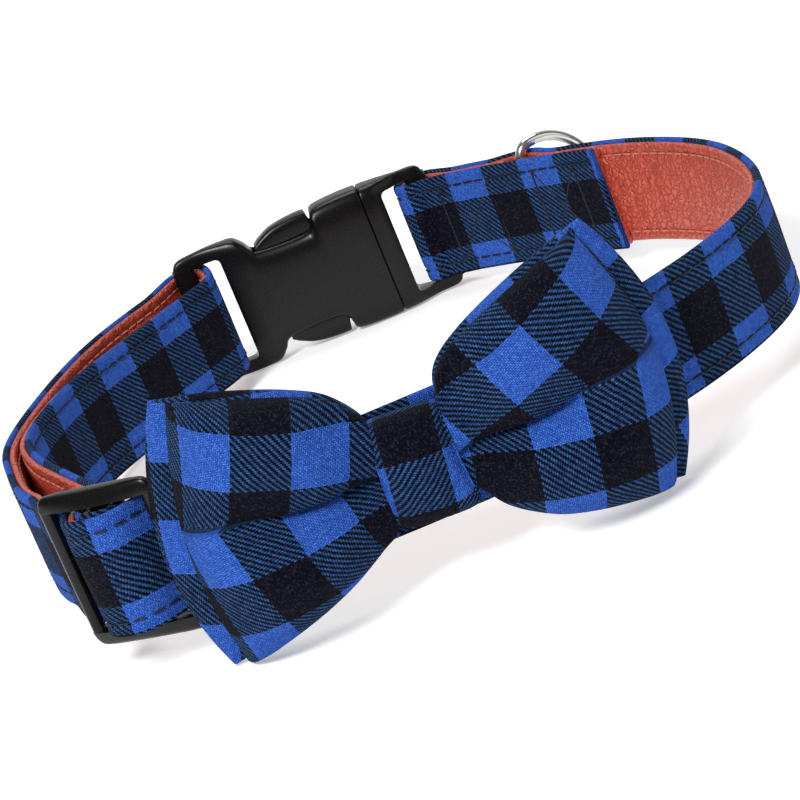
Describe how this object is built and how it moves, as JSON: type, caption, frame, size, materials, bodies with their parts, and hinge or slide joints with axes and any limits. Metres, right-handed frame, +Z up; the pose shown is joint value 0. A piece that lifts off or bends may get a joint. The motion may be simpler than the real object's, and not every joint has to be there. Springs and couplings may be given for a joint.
{
  "type": "pet bow tie collar",
  "caption": "Adjustable pet collar in checked cloth with a leather lining, a side-release buckle, a slider, a leash ring and a folded bow tie at the front.",
  "frame": {"origin": "centre of the bounding box on the floor that the collar stands on", "axes": "+X along the buckle, to the right as seen from the bow; +Y from the bow at the front to the buckle at the back; +Z up, across the strap"},
  "size_m": [0.1674, 0.1888, 0.0549],
  "materials": {
    "check_fabric": "matte woven check in blue and black",
    "coral_leather": "grained, slightly glossy",
    "black_plastic": "satin, fine texture",
    "nickel_wire": "polished plated wire"
  },
  "bodies": {
    "collar": {"strap_fabric": "check_fabric", "strap_lining": "coral_leather", "buckle_socket": "black_plastic", "buckle_plug": "black_plastic", "slider": "black_plastic", "bow_front": "check_fabric", "bow_back": "check_fabric", "bow_knot": "check_fabric"},
    "ring": {"d_ring": "nickel_wire"}
  },
  "joints": [
    {"name": "ring_swing", "type": "hinge", "parent": "collar", "child": "ring", "pos_m": [0.04523, 0.06954, 0.01724], "axis": [0, 0.0478, 0.9989], "range_deg": [-36, 90]}
  ]
}
